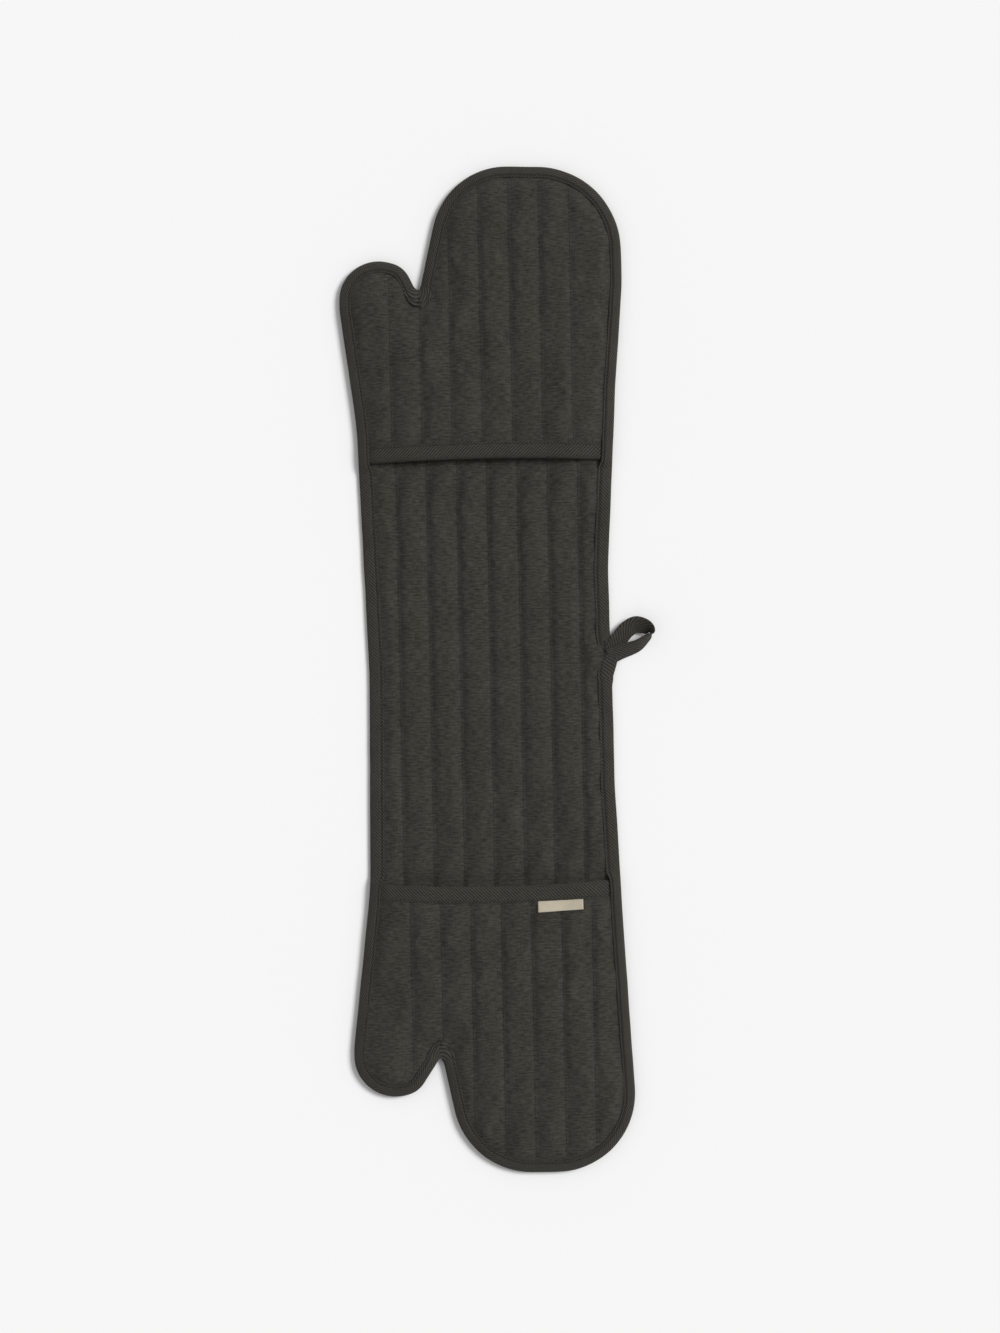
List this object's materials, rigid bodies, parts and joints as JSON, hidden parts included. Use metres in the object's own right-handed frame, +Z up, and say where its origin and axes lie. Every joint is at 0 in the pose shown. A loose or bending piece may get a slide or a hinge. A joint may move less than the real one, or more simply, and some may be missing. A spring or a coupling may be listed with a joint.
{
  "type": "double oven mitt",
  "caption": "Long padded strap of quilted cotton with a thumbed mitt pocket at each end, bound edges, a side hanging loop and a blank label, for lifting hot dishes.",
  "frame": {"origin": "under the middle of the whole mitt as it lies flat, its hanging loop included, on the surface it rests on", "axes": "+Y along the mitt towards the fingertips of the end with the hanging loop's tip, +X towards the edge with the loop, away from the thumbs, +Z up out of the pocket side"},
  "size_m": [0.2403, 0.7799, 0.0178],
  "materials": {
    "face_cotton": "woven cotton, dark warm charcoal",
    "lining_cotton": "plain woven cotton",
    "wadding": "needled cotton wadding",
    "binding_tape": "bias-cut cotton tape",
    "thread": "polyester-cotton sewing thread",
    "label_cloth": "cream woven ribbon, blank"
  },
  "bodies": {
    "upper_half": {"body_lining_upper": "lining_cotton", "body_wadding_upper": "wadding", "body_face_upper": "face_cotton", "body_quilting_upper": "thread", "edge_binding_upper": "binding_tape", "edge_topstitch_upper": "thread", "upper_crotch_tack": "thread", "loop_tack": "thread"},
    "upper_pocket": {"upper_pocket_lining": "lining_cotton", "upper_pocket_wadding": "wadding", "upper_pocket_face": "face_cotton", "upper_pocket_quilting": "thread", "upper_mouth_binding": "binding_tape", "upper_mouth_topstitch": "thread"},
    "lower_half": {"body_lining_lower": "lining_cotton", "body_wadding_lower": "wadding", "body_face_lower": "face_cotton", "body_quilting_lower": "thread", "edge_binding_lower": "binding_tape", "edge_topstitch_lower": "thread", "lower_crotch_tack": "thread"},
    "lower_pocket": {"lower_pocket_lining": "lining_cotton", "lower_pocket_wadding": "wadding", "lower_pocket_face": "face_cotton", "lower_pocket_quilting": "thread", "lower_mouth_binding": "binding_tape", "lower_mouth_topstitch": "thread"},
    "label": {"label": "label_cloth"},
    "hanging_loop": {"hanging_loop": "binding_tape"}
  },
  "joints": [
    {"name": "centre_fold", "type": "hinge", "parent": "upper_half", "child": "lower_half", "pos_m": [0, -0.009, 0.0061], "axis": [-1, 0, 0], "range_deg": [0, 170]},
    {"name": "upper_mouth_open", "type": "hinge", "parent": "upper_half", "child": "upper_pocket", "pos_m": [0.02, 0.3775, 0.0061], "axis": [1, 0, 0], "range_deg": [-10, 0]},
    {"name": "lower_mouth_open", "type": "hinge", "parent": "lower_half", "child": "lower_pocket", "pos_m": [0.02, -0.3795, 0.0061], "axis": [-1, 0, 0], "range_deg": [-10, 0]},
    {"name": "loop_swing", "type": "hinge", "parent": "upper_half", "child": "hanging_loop", "pos_m": [0.0893, 0.0133, 0.0062], "axis": [0, 1, 0], "range_deg": [-160, 0]},
    {"name": "label_flip", "type": "hinge", "parent": "lower_pocket", "child": "label", "pos_m": [0.0455, -0.18, 0.0179], "axis": [1, 0, 0], "range_deg": [-150, 0]}
  ]
}
